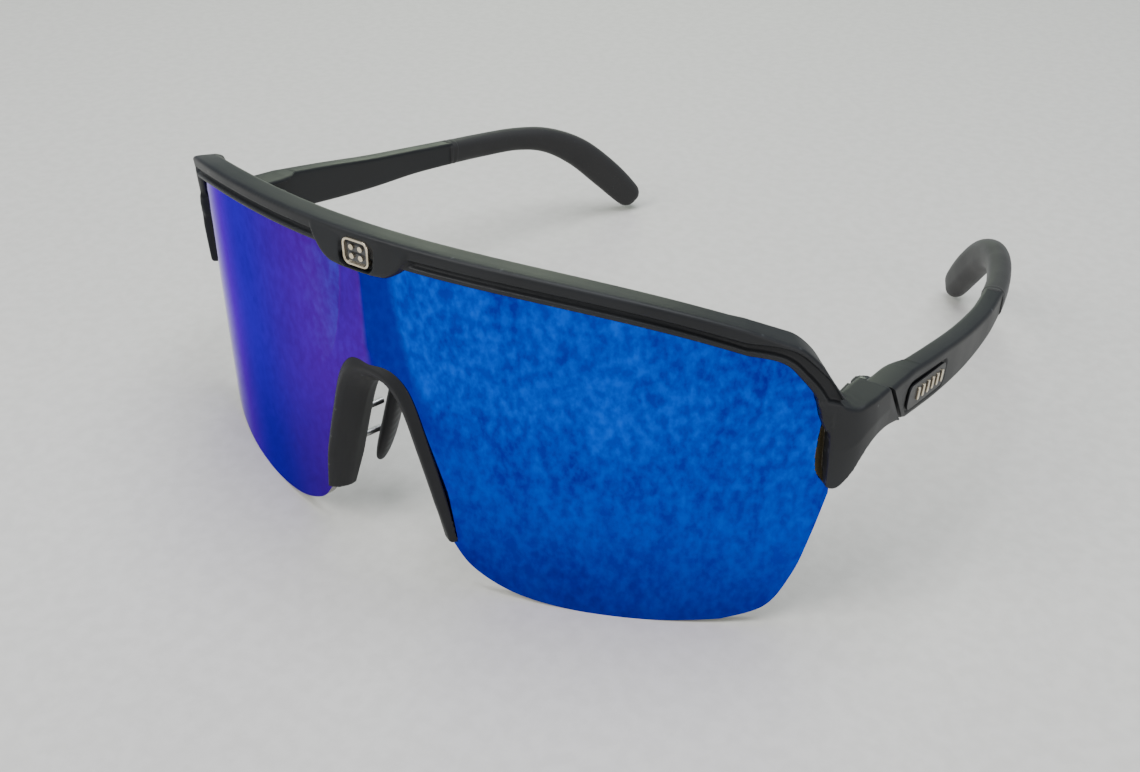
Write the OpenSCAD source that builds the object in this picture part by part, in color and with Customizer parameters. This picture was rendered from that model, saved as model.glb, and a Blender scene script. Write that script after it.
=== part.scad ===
// Wraparound sport sunglasses: one shield lens under a brow frame, a clip-in nose bridge with
// two adjustable pads, and two folding temples with rubber tips.
// Millimetres, +Z up, front of the lens towards -Y, +X is the wearer's left.

/* [Lens] */
// Radius of the lens front face, about an upright axis behind it
lens_r = 98; // [95:1:102]
// Thickness of the lens
lens_t = 1.8; // [1.6:0.1:2.0]
// Height at which the brow uncovers the lens, on the centre line
lip_h = 58; // [57:0.5:59]

/* [Brow frame] */
// Height of the top crease on the centre line
crease_h = 62.3; // [62:0.1:63]
// How far the brow stands in front of the lens
brow_front = 1.6; // [1.5:0.1:1.8]
// How far the brow reaches behind the lens front face
brow_back = 2.8; // [2.7:0.1:3.0]
// Half of the width over the end pieces
half_w = 71.5; // [71:0.25:72]

/* [Hinges] */
// Distance of each hinge axis from the centre line
hinge_x = 65.4; // [65.2:0.1:65.5]
// Distance of the hinge axes behind the lens front
hinge_y = 42.2; // [42:0.1:42.4]
// Radius of the hinge knuckles
knuckle_r = 2.2; // [2.0:0.1:2.3]
// Radius of the hinge screw
screw_r = 0.8; // [0.6:0.1:0.9]

/* [Temples] */
// Radius of the wire core in the rubber tips
core_r = 0.8; // [0.6:0.1:0.9]

/* [Nose] */
// Length of a nose pad
pad_len = 20; // [18:1:21]
// Radius of the nose pad wire
wire_r = 0.6; // [0.5:0.1:0.65]

/* [Hidden] */

mid_y = 73.5;          // depth of the middle of the whole object behind the lens front
gap = 0.3;           // air between pieces that move past each other
slot_gap = 0.1;      // air on each side of the lens in the brow slot
bore_gap = 0.05;     // radial running fit round a pin
in_slot = 2.2;       // how far the lens goes up into the brow
block_front = 2.3;   // how far the badge block stands in front of the lens
pocket_floor = 0.9;  // floor of its pocket in front of the lens
badge_z = 58.9;      // height of the middle of the badge
pocket_w = 7.0;      // width and height of the pocket
pocket_h = 5.2;
rim_w = 5.2;         // width and height of the badge over its rim
rim_h = 4.5;
rim_t = 0.4;         // width of the rim round the plate
plate_t = 0.5;
dot_x = 0.9;         // how far the dots lie from the middle, across and up
dot_z = 0.75;
round_fn = 96;

// ---- shared outlines, seen from the front, for the half with positive x ----

function lip_z(x) = lip_h - 1.6 * pow(x / 50, 2) - 3.1 * pow(x / 50, 4);
function crease_z(x) = crease_h - 2.3 * pow(x / 50, 2) - 2.5 * pow(x / 50, 4);

// Both halves of a symmetric outline whose half runs from the centre line at the top
// round to the centre line at the bottom.
function both(half) = concat(half, [for (i = [len(half) - 1:-1:0]) [-half[i][0], half[i][1]]]);

// Points of a smooth curve through knots of any length (Catmull-Rom).
function mix4(a, b, c, d, t) = 0.5 * (2 * b + (c - a) * t + (2 * a - 5 * b + 4 * c - d) * t * t
    + (3 * b - a - 3 * c + d) * t * t * t);
function along(K, u) = let (n = len(K) - 1, i = min(floor(u), n - 1))
    mix4(K[max(i - 1, 0)], K[i], K[i + 1], K[min(i + 2, n)], u - i);
function smooth(K, steps) = [for (i = [0:(len(K) - 1) * steps]) along(K, i / steps)];

// Line of the slot at the side, from inside the brow down to the end of the end piece
slot_side = smooth([[57, 54.2], [62.9, 48.6], [65.4, 42.4], [66.9, 35.5], [67.6, 26]], 3);
// Edge of the lens along the same line, with a shallow vent notch below the brow
lens_side = smooth([[57, 54.2], [62.9, 48.6], [65.3, 42.4], [66.2, 38.4], [66, 33.4],
    [66.5, 28.8], [67.6, 26]], 3);
// Free edge of the lens from the end piece round the lobe to the foot of the nose cut-out
lens_lobe = smooth([[67.6, 26], [66, 17], [64.3, 9.8], [61.3, 3.5], [55.6, 0.9], [46, 0.1],
    [34, 0.1], [24.2, 1.3], [17.2, 4.4], [13.9, 8.7]], 3);
// Outside of the nose bridge, from the foot of a leg up to the centre line
bridge_out = smooth([[14.8, 8.8], [12.9, 17.8], [10.2, 27.2], [7.8, 34.6], [4.8, 38.8], [0, 40]], 3);
bridge_in = smooth([[11.2, 8.8], [8.9, 16.5], [6.2, 24.9], [4.2, 30.4], [2.4, 33.4], [0, 34.4]], 3);

function shifted(pts, dx, dz) = [for (p = pts) [p[0] + dx, p[1] + dz]];
// The bridge outline brought in towards the nose by d
function inset(pts, d) = [for (p = pts) [max(0, p[0] - d * 0.94), p[1] - d * (p[0] < 9 ? 0.9 : 0.3)]];

lens_cut = inset(bridge_out, 1.2);

function lens_half() = concat([for (x = [0:4:52]) [x, lip_z(x) + in_slot]], lens_side,
    [for (i = [1:len(lens_lobe) - 1]) lens_lobe[i]], lens_cut);
function slot_half() = concat([for (x = [0:4:52]) [x, lip_z(x) + in_slot + gap]],
    shifted(slot_side, gap, gap), [[67.6 + gap, -5], [0, -5]]);

brow_corner = smooth([[60.6, 53.5], [64.7, 50.4], [67.2, 46], [69.2, 43.4], [71.6, 42]], 3);
strip_in = smooth([[56, 50.9], [60.2, 48.2], [63, 43.4], [64.9, 37.6], [65.9, 31], [66.4, 25.8]], 3);
function frame_half() = concat([for (x = [0:4:56]) [x, crease_z(x)]], brow_corner,
    [[half_w, 28], [70.6, 26], [69.4, 25.4], [66.6, 25.4]],
    [for (i = [len(strip_in) - 1:-1:0]) strip_in[i]], [for (x = [52:-4:0]) [x, lip_z(x)]]);

// ---- shared solids ----

module axis_disc(r, low = -10, high = 80) {
    translate([0, lens_r, low]) cylinder(r = r, h = high - low, $fn = round_fn);
}

// Upright curved wall about the lens axis, front part only, from n = back to n = front,
// both measured forwards from the lens front face
module wall(back, front) {
    difference() {
        axis_disc(lens_r + front);
        axis_disc(lens_r + back, -11, 81);
        translate([-150, lens_r - 45, -11]) cube([300, 250, 92]);
    }
}

module front_outline(pts, near = -8, far = 60) {
    translate([0, far, 0]) rotate([90, 0, 0]) linear_extrude(far - near) polygon(pts);
}

module side(s) { if (s > 0) children(); else mirror([1, 0, 0]) children(); }

module place() { translate([0, -mid_y, 0]) children(); }

// Closed skin over a list of rings with the same number of points
module skin(rings) {
    n = len(rings[0]);
    m = len(rings);
    polyhedron(points = [for (r = rings) each r],
        faces = concat([[for (i = [0:n - 1]) i]], [[for (i = [n - 1:-1:0]) (m - 1) * n + i]],
            [for (j = [0:m - 2], i = [0:n - 1]) each let (a = j * n + i, b = j * n + (i + 1) % n)
                [[b, a, a + n], [b, a + n, b + n]]]));
}

// Rounded rectangle w by h with corner radius r, as points round its middle
function pill(w, h, r, k = 4) = [for (c = [0:3], i = [0:k])
    let (a = 90 * c + 90 * i / k, sx = (c == 0 || c == 3) ? 1 : -1, sz = c < 2 ? 1 : -1)
    [sx * (w / 2 - r) + r * cos(a), sz * (h / 2 - r) + r * sin(a)]];

function unit(v) = v / norm(v);
// Rings square to a path; a knot is [x, y, z, width, height, corner radius]
function path_rings(K, steps) = let (P = smooth(K, steps), n = len(P) - 1) [for (i = [0:n])
    let (a = P[max(i - 1, 0)], b = P[min(i + 1, n)], t = unit([b[0] - a[0], b[1] - a[1], b[2] - a[2]]),
        s = unit(cross(t, [0, 0, 1])), u = cross(s, t), p = P[i])
    [for (q = pill(p[3], p[4], p[5])) [p[0], p[1], p[2]] + s * q[0] + u * q[1]]];

// ---- brow frame with its end pieces ----

// Side view of the arm that runs back to the hinge, as [y, z]
arm_side = concat([[20, 43.6], [26, 43.4], [37.7, 40.3], [43.5, 31.6]],
    smooth([[43.5, 31.6], [37, 33], [32.4, 32.6], [30.6, 30.4], [30.1, 26.6]], 3),
    [[29.4, 25.4], [20, 25.4]]);
// Plan view of the same arm, as [x, y]
arm_plan = concat([[65.6, 20]], smooth([[68, 20], [70.6, 25.6], [71.5, 31], [71.6, 44]], 3),
    [[65.2, 44], [65.2, 31]]);

bead_h = 1.3;        // height of the bead along the lower lip, under the groove
groove_h = 0.6;
groove_t = 0.7;
drum_low = 33.2;     // bottom and top of the temple's own knuckle
drum_high = 35.8;
eye_t = 1.7;         // height of each knuckle of the end piece
head_z = 37.1;       // seat of the screw head in the upper one
screw_head_r = 1.35;

module hinge_drum(r, low, high) {
    translate([hinge_x, hinge_y, low]) cylinder(r = r, h = high - low, $fn = 48);
}

module end_arm() {
    intersection() {
        translate([60, 0, 0]) rotate([90, 0, 90]) linear_extrude(20) polygon(arm_side);
        translate([0, 0, 20]) linear_extrude(30) polygon(arm_plan);
        axis_disc(lens_r + brow_front);
    }
}

// Two knuckles on the inner side of each end piece, one above and one below the temple's own
module frame_knuckles() {
    for (low = [drum_low - gap - eye_t, drum_high + gap]) {
        hinge_drum(knuckle_r, low, low + eye_t);
        translate([hinge_x - knuckle_r, 36, low]) cube([2 * knuckle_r, hinge_y - 36, eye_t]);
    }
}

module badge_block() {
    intersection() {
        wall(gap, block_front);
        front_outline(both(concat([[0, crease_z(0)], [9.8, crease_z(9.8)]],
            smooth([[9.8, crease_z(9.8)], [9.1, 59.8], [7.3, 57.6], [5.2, 56.1]], 3), [[0, 55.9]])));
    }
}

module brow_frame() color([0.16, 0.165, 0.17]) place() {
    difference() {
        union() {
            intersection() {
                wall(-brow_back, brow_front);
                front_outline(both(frame_half()));
            }
            badge_block();
            for (s = [-1, 1]) side(s) {
                end_arm();
                frame_knuckles();
            }
        }
        // slot that takes the top and sides of the lens
        intersection() {
            wall(-lens_t - slot_gap, slot_gap);
            front_outline(both(slot_half()));
        }
        for (s = [-1, 1]) side(s) {
            // the lens shows its edge beside the lower part of the end piece
            intersection() {
                wall(-0.5, 6);
                front_outline(concat([[50, 39.5], [50, 10]],
                    [[67.6 + gap, 10]], [for (i = [len(slot_side) - 1:-1:5]) slot_side[i] + [gap, 0]]));
            }
            hinge_drum(knuckle_r + gap, drum_low - gap, drum_high + gap);
            hinge_drum(screw_r + bore_gap, 30, 45);
            hinge_drum(screw_head_r + 0.15, head_z, 45);
            // groove over the lower lip of the brow
            intersection() {
                wall(brow_front - groove_t, 6);
                front_outline(concat([for (x = [12:4:56]) [x, lip_z(x) + bead_h + groove_h]],
                    [for (x = [56:-4:12]) [x, lip_z(x) + bead_h]]));
            }
        }
        // pocket for the badge
        badge_slab(5) polygon(pill(pocket_w, pocket_h, 1.5, 6));
    }
}

// ---- badge ----

module badge_slab(t) {
    translate([0, -pocket_floor, badge_z]) rotate([90, 0, 0]) linear_extrude(t) children();
}

module badge_plate() color([0.08, 0.08, 0.085]) place()
    badge_slab(plate_t) polygon(pill(rim_w - 2 * rim_t, rim_h - 2 * rim_t, 0.8, 6));

module badge_rim() color([0.8, 0.74, 0.62]) place()
    badge_slab(0.9) difference() {
        polygon(pill(rim_w, rim_h, 1.2, 6));
        polygon(pill(rim_w - 2 * rim_t, rim_h - 2 * rim_t, 0.8, 6));
    }

module badge_dots() color([0.8, 0.74, 0.62]) place()
    for (x = [-dot_x, dot_x], z = [-dot_z, dot_z]) translate([x, -pocket_floor - plate_t, badge_z + z])
        rotate([90, 0, 0]) cylinder(r = 0.45, h = 0.3, $fn = 24);

// ---- lens ----

module shield_lens() color([0.05, 0.25, 0.8]) place()
    intersection() {
        wall(-lens_t, 0);
        front_outline(both(lens_half()));
    }

// ---- nose bridge ----

bridge_front = 1.5;  // how far the arch stands in front of the lens, and reaches behind its front
bridge_back = 6;
boss_x = 13.2;       // axis of the boss that carries the wire of a nose pad
boss_y = 8.1;
boss_r = 1.5;
boss_low = 16.2;
boss_high = 19.8;

module nose_bridge() color([0.14, 0.145, 0.15]) place()
    difference() {
        union() {
            intersection() {
                wall(-bridge_back, bridge_front);
                front_outline(concat(both_up(bridge_out), both_down(bridge_in)));
            }
            for (s = [-1, 1]) side(s) {
                translate([boss_x, boss_y, boss_low]) cylinder(r = boss_r, h = boss_high - boss_low, $fn = 48);
                translate([boss_x - boss_r, boss_y - 2.5, boss_low])
                    cube([2 * boss_r, 2.5, boss_high - boss_low]);
            }
        }
        // groove that clasps the edge of the lens
        intersection() {
            wall(-lens_t - bore_gap, bore_gap);
            difference() {
                front_outline([[-30, 2], [-30, 60], [30, 60], [30, 2]]);
                front_outline(concat(both_up(inset(bridge_out, 1.25)), [[-14, -5], [14, -5]]), -9, 61);
            }
        }
        for (s = [-1, 1]) side(s) translate([boss_x, boss_y, 10])
            cylinder(r = wire_r + bore_gap, h = 16, $fn = 32);
    }

// An arch over the nose from the foot of one leg to the other, and back again
function both_up(pts) = concat(pts, [for (i = [len(pts) - 2:-1:0]) [-pts[i][0], pts[i][1]]]);
function both_down(pts) = let (r = both_up(pts)) [for (i = [len(r) - 1:-1:0]) r[i]];

// ---- nose pads on their wires ----

pad_at = [11.2, 14.6, 17.6];
pad_turn = [0, 14, 28];     // bottoms apart, backs turned outwards

module pad_shape() {
    hull() for (z = [-1, 0, 1])
        translate([z == 0 ? -0.4 : 0.2, 0, z * (pad_len / 2 - 3.4)])
            scale([1.5 / 3.4, z > 0 ? 1 : 1.25, 1]) sphere(r = 3.4, $fn = 24);
}

module nose_pad(s) color([0.2, 0.2, 0.21]) place()
    side(s) translate(pad_at) rotate([0, -pad_turn[1], -pad_turn[2]]) pad_shape();

module nose_wire(s) color([0.62, 0.62, 0.64]) place() side(s) {
    arm = [boss_low - gap - wire_r, boss_high + gap + wire_r];
    translate([boss_x, boss_y, arm[0]]) cylinder(r = wire_r, h = arm[1] - arm[0], $fn = 32);
    for (z = arm) translate([boss_x, boss_y, z]) {
        sphere(r = wire_r, $fn = 32);
        rotate([-90, 0, 14]) cylinder(r = wire_r, h = 5.4, $fn = 32);
    }
}

// ---- hinge screws ----

module hinge_screw(s) color([0.55, 0.55, 0.57]) place() side(s)
    difference() {
        union() {
            hinge_drum(screw_r, drum_low - gap - eye_t + 0.1, head_z + 0.5);
            hinge_drum(screw_head_r, head_z + bore_gap, head_z + 0.7);
        }
        translate([hinge_x - 1.5, hinge_y - 0.2, head_z + 0.4]) cube([3, 0.4, 1]);
    }

// ---- temples ----

// Middle line of the arm and its section: [x, y, z, width, height, corner radius]
arm_knots = [[69.8, 46.5, 34.8, 3.8, 8.3, 1.2], [70.0, 60, 32.2, 3.8, 8.0, 1.2],
    [69.8, 74, 29.8, 3.8, 7.0, 1.2], [69.0, 88, 28.1, 3.7, 5.8, 1.2], [67.4, 99.6, 26.8, 3.7, 5.3, 1.2]];
arm_front = [69.8, 41.1, 35.8];     // middle of the slanted front end
seam_slant = 0.667;                 // how far the front end leans back for each millimetre down
// Rubber tip, from its mouth round the bend to its round end
tip_knots = [[67.2, 100.5, 26.7, 4.4, 5.6, 1.8], [65.2, 110, 25.8, 4.5, 5.6, 2.0],
    [62.0, 120, 24.9, 4.7, 5.6, 2.2], [58.3, 128, 22.9, 5.0, 6.2, 2.4], [54.0, 135.5, 18.2, 5.2, 7.4, 2.5],
    [49.6, 142, 11.2, 5.2, 7.8, 2.5], [46.2, 147, 4.9, 4.9, 7.0, 2.4], [45.2, 148.5, 3.0, 3.9, 5.4, 1.9],
    [44.8, 149.1, 2.2, 1.6, 2.4, 0.75]];
panel_y = 53;               // middle of the panel let into the outer face
panel_z = 33.2;
panel_len = 17;
panel_h = 4.2;
panel_t = 0.35;
rib_step = 2.2;             // from one rib to the next
panel_x = 71.65;            // where the back of the panel lies

module panel_place(s) {
    // the panel follows the slope of the arm and lies in its outer face
    side(s) translate([0, panel_y, panel_z]) rotate([-10.5, 0, 0]) rotate([90, 0, 90]) children();
}

module temple(s) color([0.15, 0.155, 0.16]) place() side(s)
    skin(concat([[for (q = pill(3.8, 8.4, 1.2)) arm_front + [q[0], -seam_slant * q[1], q[1]]]],
        path_rings(arm_knots, 5)));

// The arm's own knuckle, which turns on the screw between the two of the end piece
module hinge_knuckle(s) color([0.15, 0.155, 0.16]) place() side(s) difference() {
    union() {
        hinge_drum(knuckle_r, drum_low, drum_high);
        translate([hinge_x, hinge_y + 0.4, drum_low]) cube([3.4, 1.8, drum_high - drum_low]);
    }
    hinge_drum(screw_r + bore_gap, 30, 45);
}

module temple_panel(s) color([0.1, 0.1, 0.105]) place()
    panel_place(s) translate([0, 0, panel_x]) linear_extrude(panel_t)
        polygon(pill(panel_len, panel_h, 1.45, 6));

// A plain row of raised ribs on the panel
module temple_ribs(s) color([0.78, 0.72, 0.58]) place()
    panel_place(s) for (i = [-2:3]) translate([rib_step * i, 0, panel_x + panel_t])
        linear_extrude(0.25) polygon(pill(0.9, 2.2, 0.4, 4));

module temple_tip(s) color([0.12, 0.12, 0.12]) place() side(s) skin(path_rings(tip_knots, 4));

// The wire runs down the middle of the rubber from its mouth
core_knots = [for (i = [0:6]) let (k = tip_knots[i])
    [k[0], k[1], k[2], 2 * core_r, 2 * core_r, core_r * 0.9]];
module tip_core(s) color([0.6, 0.6, 0.62]) place() side(s) skin(path_rings(core_knots, 3));

// ---- the nodes ----

brow_frame();
shield_lens();
nose_bridge();
badge_plate();
badge_rim();
badge_dots();
nose_pad(1);  // nose_pad_left
nose_pad(-1);  // nose_pad_right
nose_wire(1);  // nose_wire_left
nose_wire(-1);  // nose_wire_right
hinge_screw(1);  // hinge_screw_left
hinge_screw(-1);  // hinge_screw_right
temple(1);  // temple_left
temple(-1);  // temple_right
hinge_knuckle(1);  // hinge_knuckle_left
hinge_knuckle(-1);  // hinge_knuckle_right
temple_panel(1);  // temple_panel_left
temple_panel(-1);  // temple_panel_right
temple_ribs(1);  // temple_ribs_left
temple_ribs(-1);  // temple_ribs_right
tip_core(1);  // tip_core_left
tip_core(-1);  // tip_core_right
temple_tip(1);  // temple_tip_left
temple_tip(-1);  // temple_tip_right
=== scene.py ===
# Wraparound sport sunglasses, standing open on their lens and temple tips: one mirrored shield
# lens hung under a brow frame, a clip-in nose bridge with two soft pads, two folding temples.
import math

import bmesh
import bpy
import numpy as np
from mathutils import Matrix, Vector


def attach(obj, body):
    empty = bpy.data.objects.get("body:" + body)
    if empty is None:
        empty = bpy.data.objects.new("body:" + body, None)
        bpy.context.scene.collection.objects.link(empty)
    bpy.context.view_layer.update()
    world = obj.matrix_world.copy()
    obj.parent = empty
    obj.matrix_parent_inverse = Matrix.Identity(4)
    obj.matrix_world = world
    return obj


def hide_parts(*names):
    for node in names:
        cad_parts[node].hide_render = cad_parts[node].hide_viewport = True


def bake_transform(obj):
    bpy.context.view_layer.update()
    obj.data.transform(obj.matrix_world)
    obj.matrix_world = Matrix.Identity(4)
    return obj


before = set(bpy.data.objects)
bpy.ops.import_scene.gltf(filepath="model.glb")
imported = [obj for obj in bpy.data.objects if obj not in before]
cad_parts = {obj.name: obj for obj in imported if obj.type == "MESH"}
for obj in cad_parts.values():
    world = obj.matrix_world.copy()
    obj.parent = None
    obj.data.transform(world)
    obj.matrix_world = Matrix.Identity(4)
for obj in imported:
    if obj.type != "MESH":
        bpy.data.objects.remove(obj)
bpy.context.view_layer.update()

# ---- camera ----
# The glasses are looked at from the wearer's left, from in front and from above, close enough
# for the lens to loom larger than the temples behind it.
MM = 0.001
look_at = Vector((19.6, -47.0, 28.05)) * MM
view_turn, view_height, view_reach = math.radians(34.85), math.radians(31.79), 221.3 * MM
away = Vector((math.sin(view_turn) * math.cos(view_height),
               -math.cos(view_turn) * math.cos(view_height), math.sin(view_height)))
camera = bpy.data.objects.new("camera", bpy.data.cameras.new("camera"))
bpy.context.scene.collection.objects.link(camera)
bpy.context.scene.camera = camera
camera.data.sensor_width, camera.data.lens = 36, 41.05
camera.data.clip_start, camera.data.clip_end = 0.01, 20
camera.location = look_at + away * view_reach
camera.rotation_euler = (-away).to_track_quat("-Z", "Y").to_euler()

# ---- shield lens ----
# One sheet of injection-moulded polycarbonate, 1.8 mm thick and bent round an upright axis, with
# a ridge drawn out of it over the nose. A blue mirror coat is evaporated on its front; the rim is
# cut afterwards, so the smoky brown of the plastic shows there.
lens_bend, lens_thick, axis_y = 98.0, 1.8, 24.5     # millimetres, as all sizes below
lens_front = axis_y - lens_bend                     # how far forward the bend of the lens comes


def smooth(knots, steps):
    """Points of a smooth curve that passes through its knots."""
    knots = np.array(knots, float)
    last = len(knots) - 1
    found = []
    for u in np.linspace(0, last, last * steps + 1):
        i = min(int(u), last - 1)
        a, b, c, d = knots[max(i - 1, 0)], knots[i], knots[i + 1], knots[min(i + 2, last)]
        t = u - i
        found.append(0.5 * (2 * b + (c - a) * t + (2 * a - 5 * b + 4 * c - d) * t * t
                            + (3 * b - a - 3 * c + d) * t ** 3))
    return np.array(found)


def evenly(points, count):
    """The same curve with its points at equal steps along it."""
    steps = np.linalg.norm(np.diff(points, axis=0), axis=1)
    run = np.concatenate(([0], np.cumsum(steps)))
    at = np.linspace(0, run[-1], count)
    return np.stack([np.interp(at, run, points[:, k]) for k in range(points.shape[1])], 1)


def on_lens(x, z, proud=0.0):
    """The place at x and z on the bend of the lens, or that far in front of it."""
    x, z, proud = np.broadcast_arrays(np.asarray(x, float), z, proud)
    grown = 1 + proud / lens_bend
    return np.stack([x * grown, axis_y - np.sqrt(lens_bend ** 2 - x ** 2) * grown, z], -1)


def lip_height(x):
    """The height of the brow's lower lip, which the lens runs up into."""
    return 58 - 1.6 * (x / 50) ** 2 - 3.1 * (x / 50) ** 4


def build(name, points, faces, sharp=35, parts=None):
    """A mesh piece from points in millimetres, its faces turned outwards."""
    mesh = bpy.data.meshes.new(name)
    mesh.from_pydata((np.asarray(points) * MM).tolist(), [], faces)
    if parts is not None:
        mesh.polygons.foreach_set("material_index", parts)
    mesh.validate()
    mesh.shade_smooth()
    mesh.set_sharp_from_angle(angle=math.radians(sharp))
    piece = bpy.data.objects.new(name, mesh)
    bpy.context.scene.collection.objects.link(piece)
    return piece


def soften(piece, width, angle=40):
    """A small round worked along every hard edge."""
    edge = piece.modifiers.new("edge", "BEVEL")
    edge.width, edge.segments = width * MM, 2
    edge.limit_method, edge.angle_limit = "ANGLE", math.radians(angle)


lens_foot = smooth([(0, 38.9), (3.7, 37.6), (6.7, 33.5), (9.1, 26.2), (11.8, 17.4), (13.7, 8.5)], 12)
lens_lobe = smooth([(13.7, 8.5), (17.2, 4.4), (24.2, 1.3), (34, .1), (46, .1), (55.6, .9)], 12)
lobe_side = smooth([(55.6, .9), (61.3, 3.5), (64.3, 9.8), (66, 17), (67.6, 26)], 12)
upper_side = smooth([(55.6, 54.7), (57, 54.2), (62.9, 48.6), (65.3, 42.4), (66.5, 37), (66.7, 31.5),
                     (67.6, 26)], 10)
inner_edge = np.concatenate([evenly(lens_foot, 52)[:-1], evenly(lens_lobe, 62)[:-1]])
low_edge = np.concatenate([inner_edge, evenly(lobe_side, 70)[:-1]])
high_edge = np.concatenate([np.stack([inner_edge[:, 0], lip_height(inner_edge[:, 0]) + 2.2], 1),
                            evenly(upper_side, 70)[:-1]])
low_edge = np.concatenate([low_edge[:0:-1] * (-1, 1), low_edge])
high_edge = np.concatenate([high_edge[:0:-1] * (-1, 1), high_edge])

ridge_half = smooth([(14, 40), (20, 30), (28.7, 19), (33, 13), (38, 9), (46, 6.4), (56, 5), (60, 5)], 6)


def ridge(x, z):
    """How far the ridge over the nose stands out of the bend of the lens."""
    half = np.interp(z, ridge_half[:, 0], ridge_half[:, 1])
    height = np.interp(z, [18, 30, 42, 55.6, 56.8], [0, 0.6, 1.25, 1.25, 0])
    return height * np.clip(1.06 - np.sqrt((x / half) ** 2 + 0.06 ** 2), 0, 1)


lens_rows = 72
climb = np.linspace(0, 1, lens_rows)[:, None, None]
sheet_xz = low_edge[None] * (1 - climb) + high_edge[None] * climb
lift = ridge(sheet_xz[..., 0], sheet_xz[..., 1])
# The vent notch beside each end piece: the front is ground back to a bare, slanting edge there
notch_line = upper_side[(upper_side[:, 1] > 26.6) & (upper_side[:, 1] < 40.5)]
notch_reach = np.interp(notch_line[:, 1], [26.6, 30, 36, 40.5], [0.2, 1.2, 1.0, 0.05])
off_notch = np.min(np.hypot(np.abs(sheet_xz[..., 0])[..., None] - notch_line[:, 0],
                            sheet_xz[..., 1][..., None] - notch_line[:, 1]) - notch_reach, axis=-1)
lift -= np.clip(-off_notch, 0, 1.5) * 0.75
# Behind, the hollow of the ridge runs on up into the brow
hollow = ridge(sheet_xz[..., 0], np.minimum(sheet_xz[..., 1], 55.6)) * np.interp(
    sheet_xz[..., 1], [58.4, 60], [1, 0])
lens_cols = sheet_xz.shape[1]
front_sheet = on_lens(sheet_xz[..., 0], sheet_xz[..., 1], lift)
back_sheet = on_lens(sheet_xz[..., 0], sheet_xz[..., 1], hollow - lens_thick)
lens_points = np.concatenate([front_sheet.reshape(-1, 3), back_sheet.reshape(-1, 3)])
behind = lens_rows * lens_cols
lens_faces, lens_parts = [], []
for r in range(lens_rows - 1):
    for c in range(lens_cols - 1):
        a = r * lens_cols + c
        lens_faces += [(a, a + 1, a + lens_cols + 1, a + lens_cols),
                       (behind + a, behind + a + lens_cols, behind + a + lens_cols + 1, behind + a + 1)]
        lens_parts += [1 if off_notch[r:r + 2, c:c + 2].mean() < 0 else 0, 2]
rim_loop = (list(range(lens_cols))
            + [r * lens_cols + lens_cols - 1 for r in range(1, lens_rows)]
            + [(lens_rows - 1) * lens_cols + c for c in range(lens_cols - 2, -1, -1)]
            + [r * lens_cols for r in range(lens_rows - 2, 0, -1)])
for a, b in zip(rim_loop, rim_loop[1:] + rim_loop[:1]):
    lens_faces.append((a, behind + a, behind + b, b))
    lens_parts.append(1)
lens = build("lens_shield", lens_points, lens_faces, sharp=50, parts=lens_parts)
# Mask of a painted reflection: the ridge over the nose is tinted to the deeper blue of a darker reflection,
# fading out downwards; kept in the ridge attribute
ridge_reflection_mask = np.clip(ridge(sheet_xz[..., 0], sheet_xz[..., 1]) / 0.25, 0, 1) * np.interp(
    sheet_xz[..., 1], [20, 32, 60], [0, 0.8, 1])
lens.data.attributes.new("ridge", "FLOAT", "POINT").data.foreach_set(
    "value", np.tile(ridge_reflection_mask.ravel(), 2).astype(np.float32))
soften(lens, 0.2)


class Reading:
    """A value somewhere in a finish; sums and products of readings become Math nodes."""

    def __init__(self, finish, socket):
        self.finish, self.socket = finish, socket

    def maths(self, operation, *values):
        return self.finish.node("ShaderNodeMath", {"operation": operation}, dict(enumerate(values)))

    def __add__(self, other):
        return self.maths("ADD", self, other)

    def __sub__(self, other):
        return self.maths("SUBTRACT", self, other)

    def __rsub__(self, other):
        return self.maths("SUBTRACT", other, self)

    def __mul__(self, other):
        return self.maths("MULTIPLY", self, other)

    __radd__, __rmul__ = __add__, __mul__


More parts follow.
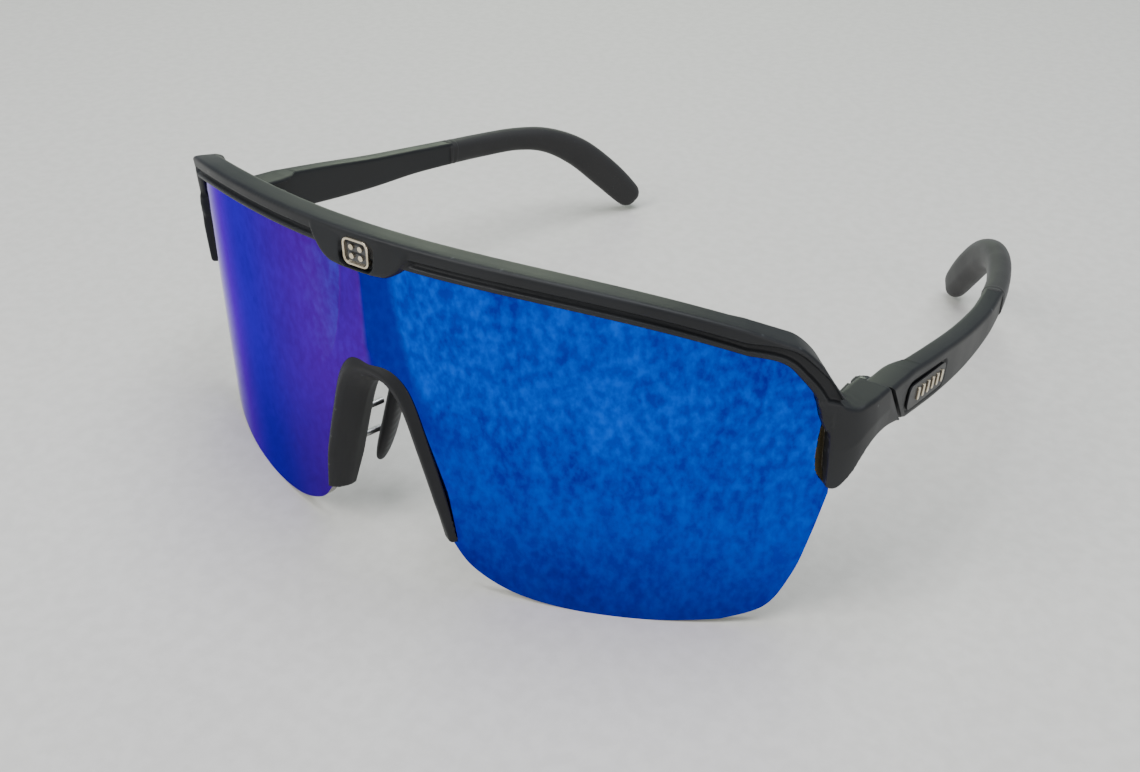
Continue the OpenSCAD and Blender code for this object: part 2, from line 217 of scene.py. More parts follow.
class Finish:
    """The recipe of one surface, put together from shader nodes."""

    def __init__(self, name):
        self.material = bpy.data.materials.new(name)
        self.material.use_nodes = True
        self.tree = self.material.node_tree
        self.tree.nodes.clear()

    def node(self, kind, settings=None, sockets=None, out=0):
        made = self.tree.nodes.new(kind)
        for name, value in (settings or {}).items():
            if name == "stops":
                stops = made.color_ramp.elements
                while len(stops) < len(value):
                    stops.new(0.5)
                for stop, (place, colour) in zip(stops, value):
                    stop.position, stop.color = place, (*colour, 1)
            else:
                setattr(made, name, value)
        usable = [s for s in made.inputs if s.enabled]
        for name, value in (sockets or {}).items():
            socket = usable[name] if isinstance(name, int) else next(s for s in usable if s.name == name)
            if isinstance(value, Reading):
                self.tree.links.new(value.socket, socket)
            elif socket.type == "RGBA" and len(value) == 3:
                socket.default_value = (*value, 1)
            else:
                socket.default_value = value
        results = [s for s in made.outputs if s.enabled]
        return Reading(self, results[out]) if results else None

    def place(self, stretch=(1, 1, 1)):
        """Where on the piece a point is, with each axis scaled by its share of the stretch."""
        at = self.node("ShaderNodeTexCoord", out=3)
        return self.node("ShaderNodeMapping", {}, {"Vector": at, "Scale": stretch})

    def cloud(self, size, detail=3, stretch=(1, 1, 1), seed=0):
        """Soft random patches of about that size in millimetres, around 0.5."""
        return self.node("ShaderNodeTexNoise", {"noise_dimensions": "4D"},
                         {"Vector": self.place(stretch), "W": seed, "Scale": 1 / (size * MM),
                          "Detail": detail})

    def between(self, share, low, high):
        """A share of 0 to 1 laid over a narrower band of readings."""
        return self.node("ShaderNodeMapRange", {"clamp": True},
                         {"Value": share, "From Min": low, "From Max": high})

    def tint(self, share, first, second):
        return self.node("ShaderNodeMix", {"data_type": "RGBA"}, {"Factor": share, "A": first, "B": second})

    def bumps(self, height, depth, strength=1.0):
        """Relief of that depth in millimetres."""
        return self.node("ShaderNodeBump", {}, {"Height": height, "Distance": depth * MM,
                                                "Strength": strength})

    def skin(self, **sockets):
        return self.node("ShaderNodeBsdfPrincipled", {},
                         {name.replace("_", " "): value for name, value in sockets.items()})

    def done(self, shader):
        self.node("ShaderNodeOutputMaterial", {}, {"Surface": shader})
        return self.material


def mirror_coat():
    """Azure seen face on and violet at a slant, with faint flecks, painted shade low down and a painted
    darker reflection on the ridge.
    """
    coat = Finish("blue_mirror_coat")
    flecks = coat.between(coat.cloud(1.4, 3, (1, 1, 0.7)), 0.37, 0.66)
    clouds = coat.between(coat.cloud(6, 3, (1, 1, 0.6), seed=9), 0.38, 0.64)
    patches = coat.between(coat.cloud(22, 2, seed=3), 0.36, 0.64)
    height = coat.node("ShaderNodeSeparateXYZ", {}, {"Vector": coat.place()}, out=2)
    # Painted shade: the coat's colour darkens steadily over the lowest 40 mm of the lens, towards the table
    painted_low_shade = coat.between(height, 0.0, 0.04) * 0.75 + 0.25
    # Painted reflection: over the ridge the azure is pushed to the deep blue of a darker reflection
    painted_ridge_reflection = coat.node("ShaderNodeAttribute", {"attribute_name": "ridge"}, out=2)
    share = (flecks * 0.5 + clouds * 0.25 + patches * 0.25) * painted_low_shade
    smears = coat.cloud(9, 5, (1, 1, 2.5), seed=7)
    gloss = 0.055 + coat.between(smears, 0.45, 0.75) * 0.07
    relief = coat.bumps(coat.cloud(5, 1, seed=5), 0.006)
    azure = coat.skin(Base_Color=coat.tint(share * (1 - painted_ridge_reflection * 0.9), (0.0, 0.002, 0.28), (0.0, 0.115, 0.80)),
                      Metallic=1.0, Roughness=gloss, Normal=relief, Specular_Tint=(0.0, 0.10, 1.0))
    violet = coat.skin(Base_Color=coat.tint(share, (0.085, 0.010, 0.27), (0.105, 0.045, 0.46)),
                       Metallic=1.0, Roughness=gloss, Normal=relief, Specular_Tint=(0.32, 0.14, 1.0))
    slant = coat.node("ShaderNodeLayerWeight", {}, {"Blend": 0.5}, out=1)
    return coat.done(coat.node("ShaderNodeMixShader", {},
                               {0: coat.between(slant, 0.33, 0.48), 1: azure, 2: violet}))


def smoky_edge():
    cut = Finish("smoky_cut_edge")
    saw = cut.cloud(0.35, 2, (1, 1, 5))
    tone = cut.tint(cut.between(saw, 0.35, 0.65), (0.030, 0.022, 0.010), (0.085, 0.066, 0.030))
    return cut.done(cut.skin(Base_Color=tone, Roughness=0.22 + saw * 0.2, IOR=1.58,
                             Normal=cut.bumps(saw, 0.02), Coat_Weight=0.5))


def smoky_back():
    inner = Finish("smoky_inner_face")
    clouds = inner.cloud(14, 3)
    tone = inner.tint(inner.between(clouds, 0.35, 0.65), (0.018, 0.015, 0.012), (0.034, 0.028, 0.022))
    wipes = inner.between(inner.cloud(6, 5, (1, 1, 3), seed=2), 0.45, 0.8)
    return inner.done(inner.skin(Base_Color=tone, Roughness=0.05 + wipes * 0.09, IOR=1.58,
                                 Coat_Weight=0.6, Coat_Roughness=0.03))


for finish in (mirror_coat(), smoky_edge(), smoky_back()):
    lens.data.materials.append(finish)
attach(lens, "lens_unit")
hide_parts("shield_lens")

# ---- brow frame ----
# One moulding of tough black nylon: a bar that carries the lens in a slot, a block for the badge
# in the middle, and at each side an end piece that turns back to the hinge and reaches down
# beside the lens. A bead and a groove run along its lower lip. Its surface is finely eroded.


def crease_height(x):
    """The height of the crease along the top of the bar."""
    return 62.3 - 2.3 * (x / 50) ** 2 - 2.5 * (x / 50) ** 4


def loft(rings, ring=False):
    """A closed skin through loops of equally many points, joined up if it is a ring."""
    rings = np.asarray(rings, float)
    m, n = rings.shape[:2]
    faces = [(j * n + i, j * n + (i + 1) % n, (j + 1) % m * n + (i + 1) % n, (j + 1) % m * n + i)
             for j in range(m if ring else m - 1) for i in range(n)]
    if not ring:
        faces += [tuple(range(n))[::-1], tuple((m - 1) * n + i for i in range(n))]
    return rings.reshape(-1, 3), faces


def turned(x, y, profile, steps=48):
    """A profile of (radius, height) turned about an upright axis."""
    turns = np.linspace(0, 2 * math.pi, steps, endpoint=False)
    return loft([[(x + r * math.cos(a), y + r * math.sin(a), z) for r, z in profile] for a in turns],
                ring=True)


def slab(low, high):
    """A box between two opposite corners."""
    (x0, y0, z0), (x1, y1, z1) = low, high
    loop = [(x0, y0), (x1, y0), (x1, y1), (x0, y1)]
    return loft([[(x, y, z) for x, y in loop] for z in (z0, z1)])


def opposite(part):
    """The same body on the wearer's other side."""
    points, faces = part
    return np.asarray(points) * (-1, 1, 1), [f[::-1] for f in faces]


def fuse(name, parts, grain, passes):
    """One moulding out of closed bodies that run into each other, with slightly rounded edges."""
    points, faces, count = [], [], 0
    for part_points, part_faces in parts:
        points.append(part_points)
        faces += [tuple(i + count for i in f) for f in part_faces]
        count += len(part_points)
    mesh = bpy.data.meshes.new(name)
    mesh.from_pydata(np.concatenate(points).tolist(), [], faces)
    whole = bpy.data.objects.new(name, mesh)
    bpy.context.scene.collection.objects.link(whole)
    mould = whole.modifiers.new("mould", "REMESH")
    mould.mode, mould.voxel_size, mould.use_smooth_shade = "VOXEL", grain, True
    polish = whole.modifiers.new("polish", "SMOOTH")
    polish.factor, polish.iterations = 0.5, passes
    bpy.context.view_layer.update()
    made = bpy.data.meshes.new_from_object(whole.evaluated_get(bpy.context.evaluated_depsgraph_get()))
    made.transform(Matrix.Scale(MM, 4))
    whole.modifiers.clear()
    whole.data = made
    made.shade_smooth()
    return whole


# The bar: where its lower lip and its top crease run, from the middle out to the end piece
slot_back = -1.95                                   # the wall of the slot behind the lens
bar_x = np.linspace(0, 56, 113)
corner = smooth([(56, 51.05, 56, 55.5), (59.3, 50.2, 60.4, 53.3), (61.2, 49.0, 62.7, 51.9),
                 (62.7, 46.9, 64.8, 49.3), (63.9, 45.0, 66.3, 46.3), (64.7, 43.4, 67.4, 44.0),
                 (65.4, 41.8, 68.0, 42.9)], 8)[1:]
bar_path = np.concatenate([np.stack([bar_x, lip_height(bar_x), bar_x, crease_height(bar_x)], 1), corner])


def bar_section(x_lip, z_lip, x_top, z_top):
    """The bar's outline at one place: bead, groove, face, top, back and the slot for the lens."""
    high = math.hypot(x_top - x_lip, z_top - z_lip)
    turn_in = np.clip((x_top - 54) / 12, 0, 1)
    deep = 2.8 + 2.0 * turn_in
    cut = 0.72 * np.clip((x_top - 9.6) / 0.5, 0, 1)
    wide = 0.75 + 0.5 * turn_in
    outline = [(0, .12), (0, .7), (.12, 1.12), (.4, 1.38), (.75, 1.45), (1.0, 1.38), (1.15, 1.3 - .5 * cut),
               (1.25, 1.32 - cut), (1.3 + wide / 2, 1.3 - cut), (1.25 + wide, 1.35 - cut),
               (1.35 + wide, 1.42 - .4 * cut), (1.5 + wide, 1.5), (high - .7, 1.6), (high - .3, 1.55),
               (high - .06, 1.3), (high, .9), (high, 0), (high - .1, .7 - deep), (high - .3, .2 - deep),
               (high - .8, -deep), (.6, -deep), (.15, .2 - deep), (0, .6 - deep), (0, slot_back),
               (2.35, slot_back), (2.35, .12)]
    up = np.array(outline)[:, 0:1] / high
    place = np.array([(x_lip, z_lip)]) * (1 - up) + np.array([(x_top, z_top)]) * up
    return on_lens(place[:, 0], place[:, 1], np.array(outline)[:, 1])


half_bar = [bar_section(*row) for row in bar_path]
bar = loft([r * (-1, 1, 1) for r in half_bar[:0:-1]] + half_bar)

# The end piece: its plan, its upper and lower outline against depth, and its thickness
plan_round = lens_bend + 1.6
plan_front = [(x, axis_y - math.sqrt(plan_round ** 2 - x ** 2)) for x in (50, 54, 58, 62, 65.5, 68.4)]
plan = smooth(plan_front + [(70.4, -45.1), (71.3, -41.9), (71.5, -38), (71.6, -27)], 12)
upper = smooth([(-50.2, 43.5), (-47.9, 42.6), (-47.1, 41.7), (-46.1, 41.15), (-44.9, 40.9), (-42.6, 41.05),
                (-36.0, 40.5)], 6)
upper = np.concatenate([upper, [(-29.9, 31.5)]])
lower = np.concatenate([[(-50.2, 42.5), (-49.9, 41.5), (-49.5, 38.8), (-48.75, 37.3), (-48.5, 35.4),
                         (-48.42, 27.6)],
                        smooth([(-48.0, 27.1), (-47.4, 27.0), (-46.7, 27.3), (-44.6, 29.7), (-43.4, 31.3),
                                (-40.8, 33.1), (-36, 33.1), (-29.9, 31.3)], 6)])


def end_section(y):
    """The end piece's outline at one depth, square to its plan."""
    top = np.interp(y, upper[:, 0], upper[:, 1])
    bottom = np.interp(y, lower[:, 0], lower[:, 1])
    x = np.interp(y, plan[:, 1], plan[:, 0])
    ahead = np.interp(y + 0.2, plan[:, 1], plan[:, 0]) - np.interp(y - 0.2, plan[:, 1], plan[:, 0])
    inward = np.array([-0.4, ahead]) / math.hypot(0.4, ahead)
    thick = np.interp(y, [-52, -48, -44, -40, -35, -34.6, -30], [4.4, 4.8, 5.5, 5.9, 5.9, 3.6, 3.6])
    tall = max(top - bottom, 0.12)
    inset, edge = min(0.45, tall / 3), min(0.35, tall / 3)
    crown = 0.22 * min(tall / 6, 1)
    loop = [(inset, 0), (0.1, edge), (-crown, tall / 2), (0.1, tall - edge), (inset, tall),
            (thick - .5, tall), (thick, tall - edge), (thick, edge), (thick - .5, 0)]
    return [(x + inward[0] * d, y + inward[1] * d, bottom + h) for d, h in loop]


end_rows = np.unique(np.concatenate([np.arange(-50.2, -29.9, 0.3), [-48.42, -35, -29.95]]).round(3))
end_piece = loft([end_section(y) for y in end_rows])

# The ledge that backs the side of the lens
ledge_in = smooth([(58, 49.6), (60.4, 47.6), (63, 43), (64.6, 37.6), (65.4, 31), (65.8, 27.6)], 5)
ledge_out = smooth([(61, 51), (64, 48), (66, 43), (67.2, 37.6), (67.6, 31), (67.6, 27.6)], 5)
ledge_back = -3.1
ledge = loft([[on_lens(*a, slot_back), on_lens(*b, slot_back), on_lens(*b, ledge_back),
               on_lens(*a, ledge_back)] for a, b in zip(ledge_in, ledge_out)])

# Two knuckles with an upright bore for the hinge screw, and the webs that carry them
hinge_x, hinge_y, knuckle_round, bore_round = 65.4, -31.3, 2.2, 0.85
knuckle_levels = ((31.2, 32.9), (36.1, 37.0))
knuckles = [turned(hinge_x, hinge_y, [(bore_round, low), (knuckle_round, low), (knuckle_round, high),
                                      (bore_round, high)]) for low, high in knuckle_levels]
webs = [slab((hinge_x - knuckle_round, -37.9, low), (hinge_x + knuckle_round, hinge_y - 1.6, high))
        for low, high in knuckle_levels]

# The badge block, with concave flanks and a pocket in its face
block_side = smooth([(10.2, 62.0), (9.2, 59.8), (7.4, 57.6), (5.4, 56.25)], 5)
badge_height = 58.9
pocket_floor, pocket_width, pocket_height, pocket_round = 0.9, 7.0, 5.3, 1.5


def pillow(width, height, corner_round, steps=8):
    """Points round a rounded rectangle."""
    found = []
    for k, (sx, sz) in enumerate([(1, 1), (-1, 1), (-1, -1), (1, -1)]):
        for a in np.linspace(0, math.pi / 2, steps + 1) + k * math.pi / 2:
            found.append((sx * (width / 2 - corner_round) + corner_round * math.cos(a),
                          sz * (height / 2 - corner_round) + corner_round * math.sin(a)))
    return np.array(found)


block_loop = np.concatenate([block_side, [(3, 56.0), (0, 55.95), (-3, 56.0)], block_side[::-1] * (-1, 1),
                             [(-5, 62.15), (0, 62.2), (5, 62.15)]])


def block_ring(share, proud):
    """One outline of the block; its face leans forward from the crease to its lower lip."""
    ring = (block_loop - (0, 61.5)) * share + (0, 61.5)
    lean = np.interp(ring[:, 1], [56, 57, 60, 62], [1.0, 1.05, 0.9, 0.66])
    return on_lens(ring[:, 0], ring[:, 1], np.maximum(proud * lean, 0.15))


block = loft([block_ring(s, n) for s, n in ((1.06, .15), (1.05, .8), (1.02, 1.6), (.99, 2.0), (.965, 2.15),
                                            (.92, 2.2))])
pocket = loft([[(x, lens_front - proud, z + badge_height)
                for x, z in pillow(pocket_width + flare, pocket_height + flare, pocket_round)]
               for flare, proud in ((0, pocket_floor), (0, 2.0), (.5, 3.4))])


def turn_out(mesh):
    """Every face of a closed body turned to face outwards."""
    shell = bmesh.new()
    shell.from_mesh(mesh)
    bmesh.ops.recalc_face_normals(shell, faces=shell.faces)
    shell.to_mesh(mesh)
    shell.free()


def carve(part, cutter):
    """A body with another cut out of it, in millimetres."""
    solids = []
    for points, faces in (part, cutter):
        mesh = bpy.data.meshes.new("carving")
        mesh.from_pydata(np.asarray(points).tolist(), [], faces)
        turn_out(mesh)
        solids.append(bpy.data.objects.new("carving", mesh))
        bpy.context.scene.collection.objects.link(solids[-1])
    cut = solids[0].modifiers.new("cut", "BOOLEAN")
    cut.object, cut.operation, cut.solver, cut.use_self = solids[1], "DIFFERENCE", "EXACT", True
    bpy.context.view_layer.update()
    made = solids[0].evaluated_get(bpy.context.evaluated_depsgraph_get()).to_mesh()
    points = np.array([v.co for v in made.vertices])
    faces = [tuple(p.vertices) for p in made.polygons]
    for s in solids:
        bpy.data.objects.remove(s)
    return points, faces


side_parts = [end_piece, ledge, *knuckles, *webs]
other_side = [opposite(part) for part in side_parts]
brow = fuse("frame_brow", [bar, carve(block, pocket)] + side_parts + other_side, 0.2, 2)


def black_nylon(name, tone=(0.012, 0.013, 0.0145), gloss=0.46, grain=0.16):
    nylon = Finish(name)
    pits = nylon.cloud(grain, 2)
    patches = nylon.between(nylon.cloud(11, 4, seed=1), 0.35, 0.65)
    # Convex edges and creases are lightened to grey: partly wear, partly a painted highlight; the specks are
    # dust
    corners = nylon.between(nylon.node("ShaderNodeNewGeometry", out=7), 0.52, 0.62)
    specks = nylon.between(nylon.cloud(0.5, 6, seed=4), 0.66, 0.74)
    body = nylon.tint(patches, tuple(0.85 * c for c in tone), tuple(1.2 * c for c in tone))
    worn_and_highlit = nylon.tint(corners * 0.35 + specks * 0.08, body, (0.07, 0.075, 0.08))
    return nylon.done(nylon.skin(Base_Color=worn_and_highlit, Roughness=gloss + patches * 0.08 - corners * 0.1,
                                 Specular_IOR_Level=0.28, Normal=nylon.bumps(pits, 0.018, 0.8)))


brow.data.materials.append(black_nylon("frame_nylon"))
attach(brow, "front")
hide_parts("brow_frame")

# ---- nose bridge ----
# An arch of the same nylon, clipped over the edge of the lens's nose cut-out by a groove. Its
# inner side runs back as a deep flange, and a boss on each leg carries the wire of a nose pad.
leg_out = [(14.8, 8.8), (12.9, 17.8), (10.2, 27.2), (7.9, 34.3), (5.7, 37.8), (3.0, 39.6), (0, 40)]
leg_in = [(11.2, 8.8), (8.9, 16.5), (6.2, 24.9), (4.6, 29.6), (3.4, 32.2), (1.9, 33.9), (0, 34.4)]
arch_out, arch_in = (smooth(leg + [(-x, z) for x, z in leg[-2::-1]], 10) for leg in (leg_out, leg_in))
arch_outline = np.array([(0, .1), (0, .5), (.03, .66), (.24, 1.42), (.29, 1.5), (.36, 1.44), (.5, 1.1),
                         (.74, -.1), (.94, -1.5), (1, -2.2), (1, -3.9), (.96, -4.4), (.84, -4.6), (.72, -4.5),
                         (.64, -4.1), (.5, -2.9), (.08, -2.8), (.0, -2.5), (0, -1.92), (.36, -1.92),
                         (.36, .1)])


def arch_section(outer, inner, foot):
    """The arch's outline between its two edges; the flange fades out towards the foot of a leg."""
    across = arch_outline[:, 0:1]
    place = outer * (1 - across) + inner * across
    flange = np.where(arch_outline[:, 1] < -3, (arch_outline[:, 1] + 3) * (1 - 0.75 * foot) - 3,
                      arch_outline[:, 1] - 0.7 * foot * (arch_outline[:, 1] > 0.2))
    return on_lens(place[:, 0], place[:, 1], flange)


arch = loft([arch_section(o, i, np.clip((17 - o[1]) / 9, 0, 1)) for o, i in zip(arch_out, arch_in)])
boss_x, boss_y, boss_low, boss_high = 13.2, -65.4, 16.2, 19.8
boss = [turned(boss_x, boss_y, [(.65, boss_low), (1.5, boss_low), (1.5, boss_high), (.65, boss_high)], 32),
        slab((boss_x - 1.5, boss_y - 5.2, boss_low), (boss_x + 1.2, boss_y - 0.9, boss_high))]
bridge = fuse("frame_bridge", [arch] + boss + [opposite(p) for p in boss], 0.2, 3)
bridge.data.materials.append(black_nylon("bridge_nylon", (0.010, 0.0105, 0.0115), 0.48, 0.2))
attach(bridge, "lens_unit")
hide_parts("nose_bridge")

# ---- badge ----
# A small black enamelled plate in a pale gold rim with four raised dots, pressed into the pocket
# of the block.


def restyle(name, finish, edge_round=0.0):
    """A CAD node keeps its shape and gets its finish, with a small round on its edges."""
    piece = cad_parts[name]
    piece.data.materials.clear()
    piece.data.materials.append(finish)
    if edge_round:
        joined = piece.modifiers.new("joined", "WELD")
        joined.merge_threshold = 0.002 * MM
        soften(piece, edge_round)
    return piece


def pale_gold():
    gold = Finish("pale_gold")
    brush = gold.cloud(0.25, 3, (1, 1, 6))
    worn = gold.between(gold.cloud(1.4, 4, seed=2), 0.4, 0.7)
    tone = gold.tint(worn, (0.60, 0.52, 0.38), (0.78, 0.70, 0.55))
    return gold.done(gold.skin(Base_Color=tone, Metallic=1.0, Roughness=0.24 + brush * 0.16,
                               Normal=gold.bumps(brush, 0.006)))


def black_enamel():
    enamel = Finish("black_enamel")
    waves = enamel.cloud(0.9, 3)
    tone = enamel.tint(enamel.between(waves, 0.35, 0.65), (0.008, 0.008, 0.009), (0.020, 0.021, 0.023))
    return enamel.done(enamel.skin(Base_Color=tone, Roughness=0.16 + waves * 0.12, Coat_Weight=0.6,
                                   Normal=enamel.bumps(waves, 0.008)))


gold_finish = pale_gold()
restyle("badge_plate", black_enamel())
restyle("badge_rim", gold_finish, 0.08)
restyle("badge_dots", gold_finish, 0.07)

# ---- nose pads and their wires ----
# Two soft rubber pads, moulded on stainless wire. Each wire is bent to a bracket whose pin turns
# stiffly in the boss, and a row of shallow grips is moulded across the side that meets the nose.


def soft_rubber(name, tone, grain):
    rubber = Finish(name)
    fine = rubber.cloud(grain, 3)
    patches = rubber.between(rubber.cloud(6, 4, seed=2), 0.35, 0.65)
    dust = rubber.between(rubber.cloud(0.3, 5, seed=6), 0.62, 0.74)
    body = rubber.tint(patches, tuple(0.8 * c for c in tone), tuple(1.25 * c for c in tone))
    return rubber.done(rubber.skin(Base_Color=rubber.tint(dust * 0.18, body, (0.16, 0.16, 0.155)),
                                   Roughness=0.66 + patches * 0.12, Normal=rubber.bumps(fine, 0.02, 0.9),
                                   Sheen_Weight=0.12, Sheen_Roughness=0.4))


def drawn_steel(name, tone):
    steel = Finish(name)
    lines = steel.cloud(0.18, 3, (1, 1, 0.15))
    dull = steel.between(steel.cloud(2, 4, seed=1), 0.4, 0.65)
    return steel.done(steel.skin(Base_Color=steel.tint(dull, tuple(0.77 * c for c in tone), tone),
                                 Metallic=1.0, Roughness=0.22 + lines * 0.2,
                                 Normal=steel.bumps(lines, 0.004)))


steel_finish = drawn_steel("drawn_steel", (0.66, 0.66, 0.67))
pad_finish = soft_rubber("pad_rubber", (0.016, 0.016, 0.017), 0.22)
pad_cols, pad_rows, pad_long, grip_step = 40, 61, 20.0, 1.6


def pad_rings():
    """A flat drop, wider towards its lower end, with grips across the side that meets the nose."""
    found = []
    for v in np.linspace(-1, 1, pad_rows):
        height = v * pad_long / 2
        taper = (1 - abs(v) ** 2.6) ** (1 / 2.2)
        wide = (4.25 - 0.45 * v) * taper * (1 if v < 0 else 0.86 + 0.14 * (1 - v))
        thick = 1.5 * taper ** 0.8
        hollow = -0.45 * (1 - v * v)
        for a in np.linspace(0, 2 * math.pi, pad_cols, endpoint=False):
            c, s = math.cos(a), math.sin(a)
            wave = 0.5 - 0.5 * math.cos(2 * math.pi * height / grip_step)
            grip = 0.12 * max(0, -c) * wave * (abs(v) < 0.72)
            found.append((hollow + 0.2 + thick * np.sign(c) * abs(c) ** 0.8 + grip, wide * s, height))
    return np.array(found).reshape(pad_rows, pad_cols, 3)


def handed(rings, side):
    """Rings made for the wearer's left, mirrored where the side is -1."""
    return rings if side > 0 else (rings * (-1, 1, 1))[:, ::-1]


pad_tilt = Matrix.Rotation(math.radians(-28), 3, "Z") @ Matrix.Rotation(math.radians(-14), 3, "Y")
pad_shape = pad_rings() @ np.array(pad_tilt).T + (11.2, lens_front + 14.6, 17.6)
for side, hand in ((1, "left"), (-1, "right")):
    pad = build("pad_" + hand, *loft(handed(pad_shape, side)), sharp=60)
    pad.data.materials.append(pad_finish)
    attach(pad, "pad_" + hand)
    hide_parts("nose_pad_" + hand)
    restyle("nose_wire_" + hand, steel_finish)

# ---- hinges ----
# The temple's own knuckle of nylon turns between the two of the end piece. A slotted screw of
# blackened steel is driven down through all three, and its head lies flat on the upper one.
hinge_nylon = black_nylon("hinge_nylon", (0.010, 0.0105, 0.0115), 0.42, 0.14)
screw_finish = drawn_steel("blackened_steel", (0.11, 0.11, 0.12))
shank_round, head_round, slot_half = 0.8, 1.35, 0.2
screw_profile = [(.02, 31.4), (shank_round, 31.4), (shank_round, 37.02), (head_round, 37.02),
                 (head_round, 37.3), (1.15, 37.42), (.02, 37.45)]
screw_slot = slab((hinge_x - 1.5, hinge_y - slot_half, 37.2), (hinge_x + 1.5, hinge_y + slot_half, 38))
screw_shape = carve(turned(hinge_x, hinge_y, screw_profile), screw_slot)
for hand in ("left", "right"):
    restyle("hinge_knuckle_" + hand, hinge_nylon, 0.15)
    screw = build("screw_" + hand, *(screw_shape if hand == "left" else opposite(screw_shape)))
    screw.data.materials.append(screw_finish)
    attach(screw, "front")
    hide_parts("hinge_screw_" + hand)

# ---- temples ----
# Long arms of the frame's nylon, flat outside, with a crisp crease along the top. Behind the
# hinge a shallow recess holds a darker panel with a row of small gold ribs.
arm_front = np.array([69.8, 41.1, 35.8])            # depths here are taken from the front of the lens
arm_knots = [(69.8, 46.5, 34.8, 3.8, 8.3, 1.2), (70.0, 60, 32.2, 3.8, 8.0, 1.2),
             (69.8, 74, 29.8, 3.8, 7.0, 1.2), (69.0, 88, 28.1, 3.7, 5.8, 1.2),
             (67.4, 99.6, 26.8, 3.7, 5.3, 1.2)]
recess_mid, recess_slope = np.array([53.0, 33.2]), math.radians(-10.5)
recess_half_long, recess_half_high, recess_round = 8.95, 2.6, 1.8
recess_depth, recess_wall, outer_face = 0.34, 0.36, 71.3


def arm_loop(width, height, corner_round):
    """A section with many points down its outer side and a tighter round at its edges."""
    r = min(corner_round * 0.62, width / 2 - 0.05, height / 2 - 0.05)
    loop = pillow(width, height, r, 5)
    flat = np.linspace(-1, 1, 25)[1:-1]
    outer = np.stack([np.full(len(flat), width / 2), flat * (height / 2 - r)], 1)
    inner = np.stack([np.full(9, -width / 2), np.linspace(1, -1, 11)[1:-1] * (height / 2 - r)], 1)
    return np.concatenate([outer, loop[:12], inner, loop[12:]])


def path_rings(knots, steps, loop_of):
    """Sections square to a smooth path of (x, y, z, width, height, corner round)."""
    path = smooth(knots, steps)
    found = []
    for i, p in enumerate(path):
        a, b = path[max(i - 1, 0)], path[min(i + 1, len(path) - 1)]
        along = (b - a)[:3] / np.linalg.norm((b - a)[:3])
        across = np.cross(along, (0, 0, 1))
        across /= np.linalg.norm(across)
        upward = np.cross(across, along)
        found.append([p[:3] + across * q[0] + upward * q[1] for q in loop_of(*p[3:6])])
    return found


def recessed(points):
    """The outer side let in round the panel."""
    local = points[:, :, 1:3] - recess_mid
    c, s = math.cos(recess_slope), math.sin(recess_slope)
    u = np.abs(local[..., 0] * c + local[..., 1] * s) - (recess_half_long - recess_round)
    v = np.abs(-local[..., 0] * s + local[..., 1] * c) - (recess_half_high - recess_round)
    beyond = np.hypot(np.maximum(u, 0), np.maximum(v, 0)) + np.minimum(np.maximum(u, v), 0) - recess_round
    sunk = np.clip(0.5 - beyond / recess_wall, 0, 1) * (points[..., 0] > outer_face)
    points[..., 0] -= recess_depth * sunk * sunk * (3 - 2 * sunk)
    return points


seam_slant = 0.667
seam = np.array([arm_front + (q[0], -seam_slant * q[1], q[1]) for q in arm_loop(3.8, 8.4, 1.2)])
arm_rings = path_rings(arm_knots, 40, arm_loop)
lead_in = [seam * (1 - t) + np.array(arm_rings[0]) * t for t in np.linspace(0, 1, 14)[:-1]]
arm_shape = np.array(lead_in + arm_rings)
from_mid = arm_shape - arm_shape.mean(axis=1, keepdims=True)
eave = np.clip((54 - arm_shape[..., 1]) / 9, 0, 1) * (from_mid[..., 0] < -1) * (arm_shape[..., 2] > 38.2)
eave *= eave * (3 - 2 * eave)
arm_shape -= eave[..., None] * (1.5, 0, 0.5)        # the top reaches in over the hinge
arm_shape = recessed(arm_shape) + (0, lens_front, 0)
temple_finish = black_nylon("temple_nylon", (0.011, 0.0118, 0.013), 0.44, 0.17)
panel_finish = black_nylon("panel_black", (0.005, 0.005, 0.0055), 0.34, 0.3)
for side, hand in ((1, "left"), (-1, "right")):
    arm = build("temple_arm_" + hand, *loft(handed(arm_shape, side)), sharp=50)
    soften(arm, 0.2, 60)
    arm.data.materials.append(temple_finish)
    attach(arm, "arm_" + hand)
    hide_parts("temple_" + hand)
    restyle("temple_panel_" + hand, panel_finish, 0.06)
    restyle("temple_ribs_" + hand, gold_finish, 0.07)

# ---- temple tips ----
# Matt rubber moulded over a steel wire, bent down behind the ear and thickest there. A short
# sleeve of the same rubber covers the joint, where the wire can be bent to fit the head.
tip_knots = [(67.2, 100.5, 26.7, 4.4, 5.6, 1.8), (65.2, 110, 25.8, 4.5, 5.6, 2.0),
             (62.0, 120, 24.9, 4.7, 5.6, 2.2), (58.3, 128, 22.9, 5.0, 6.2, 2.4),
             (54.0, 135.5, 18.2, 5.2, 7.4, 2.5), (49.6, 142, 11.2, 5.2, 7.8, 2.5),
             (46.2, 147, 4.9, 4.9, 7.0, 2.4), (45.2, 148.5, 3.0, 3.9, 5.4, 1.9),
             (44.8, 149.1, 2.2, 1.6, 2.4, 0.75)]
sleeve_knots = [(67.55, 98.7, 26.9, 3.9, 5.4, 1.4), (67.5, 99.0, 26.88, 4.25, 5.62, 1.6),
                (67.4, 99.5, 26.82, 4.3, 5.66, 1.7), (67.3, 99.9, 26.78, 4.12, 5.5, 1.6),
                (67.22, 100.3, 26.74, 4.3, 5.66, 1.7), (67.1, 100.8, 26.68, 4.45, 5.7, 1.8),
                (67.0, 101.2, 26.63, 4.3, 5.5, 1.8)]


def tip_loop(width, height, corner_round):
    """A section of rubber, as round as its width lets it be."""
    return pillow(width, height, min(corner_round, width / 2 - 0.05), 7)


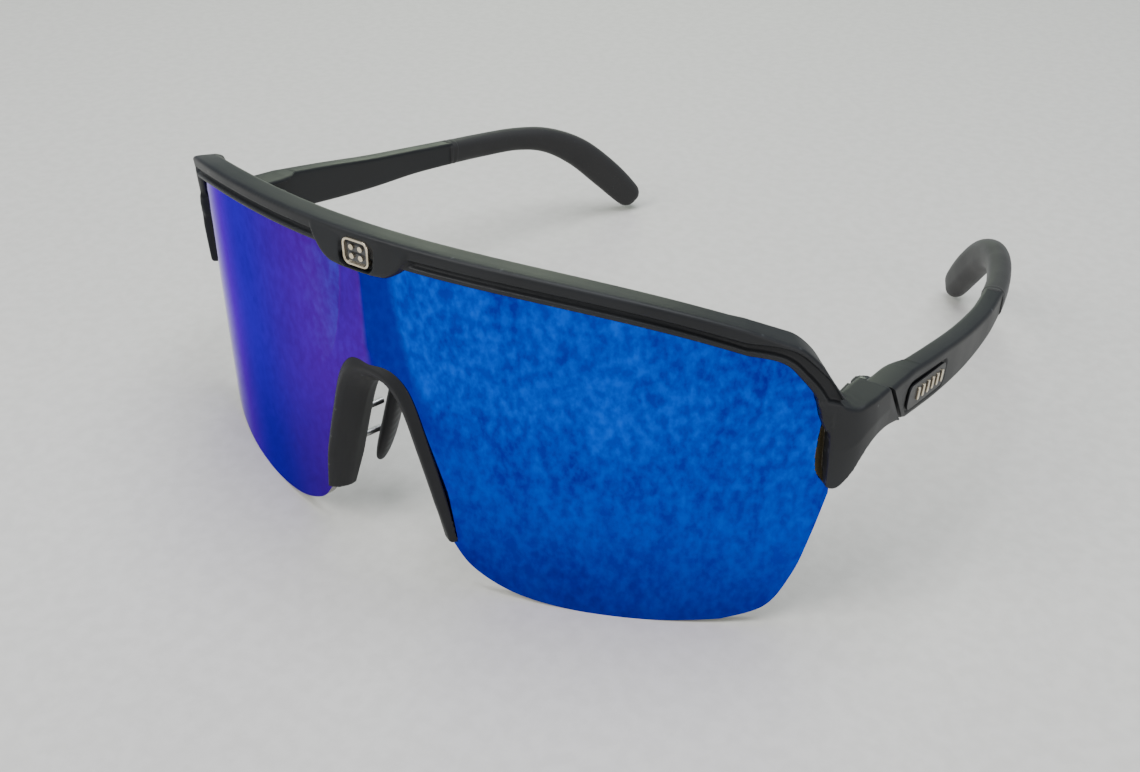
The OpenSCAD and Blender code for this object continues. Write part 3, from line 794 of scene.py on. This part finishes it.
tip_shape = np.array(path_rings(tip_knots, 16, tip_loop)) + (0, lens_front, 0)
sleeve_shape = np.array(path_rings(sleeve_knots, 4, tip_loop)) + (0, lens_front, 0)
tip_finish = soft_rubber("tip_rubber", (0.009, 0.009, 0.0095), 0.25)
for side, hand in ((1, "left"), (-1, "right")):
    for name, shape in (("tip_rubber_", tip_shape), ("tip_sleeve_", sleeve_shape)):
        piece = build(name + hand, *loft(handed(shape, side)), sharp=60)
        piece.data.materials.append(tip_finish)
        if name == "tip_rubber_":
            soften(piece, 0.2, 60)
            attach(piece, "tip_" + hand)
            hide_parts("temple_tip_" + hand)
        else:
            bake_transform(piece)
    restyle("tip_core_" + hand, steel_finish)

# ---- table and light ----
# A plain pale table top under soft studio light. Four round lamps stand in front, above, to the
# wearer's left and behind, and a dim bluish sky fills in the shadows.
table_mesh = bpy.data.meshes.new("table_top")
table_mesh.from_pydata([(-3, -3, 0), (3, -3, 0), (3, 3, 0), (-3, 3, 0)], [], [(0, 1, 2, 3)])
floor = bpy.data.objects.new("table_top", table_mesh)
bpy.context.scene.collection.objects.link(floor)
top = Finish("pale_table")
paper = top.cloud(3, 5)
floor.data.materials.append(top.done(top.skin(
    Base_Color=top.tint(top.between(paper, 0.4, 0.6), (0.60, 0.585, 0.56), (0.64, 0.625, 0.60)),
    Roughness=0.7 + paper * 0.1, Normal=top.bumps(paper, 0.03))))


def lamp(name, place, size, power, colour):
    """A round lamp that faces the glasses."""
    light = bpy.data.lights.new(name, "AREA")
    light.shape, light.size, light.energy, light.color = "DISK", size, power, colour
    lit = bpy.data.objects.new(name, light)
    bpy.context.scene.collection.objects.link(lit)
    lit.location = place
    lit.rotation_euler = (Vector(place) - Vector((0, 0, 0.03))).to_track_quat("Z", "Y").to_euler()


lamp("front_lamp", (-0.35, -0.75, 0.75), 0.7, 8, (1.0, 0.98, 0.95))
lamp("top_lamp", (0.1, 0.0, 0.9), 0.8, 9, (0.95, 0.98, 1.0))
lamp("side_lamp", (0.75, -0.25, 0.25), 0.4, 1.6, (1.0, 0.93, 0.9))
lamp("rear_lamp", (-0.5, 0.75, 0.4), 0.5, 2.5, (0.85, 1.0, 0.72))
world = bpy.data.worlds.new("studio")
world.use_nodes = True
bpy.context.scene.world = world
sky = world.node_tree.nodes["Background"]
sky.inputs["Color"].default_value = (0.80, 0.88, 1.0, 1)
sky.inputs["Strength"].default_value = 0.35
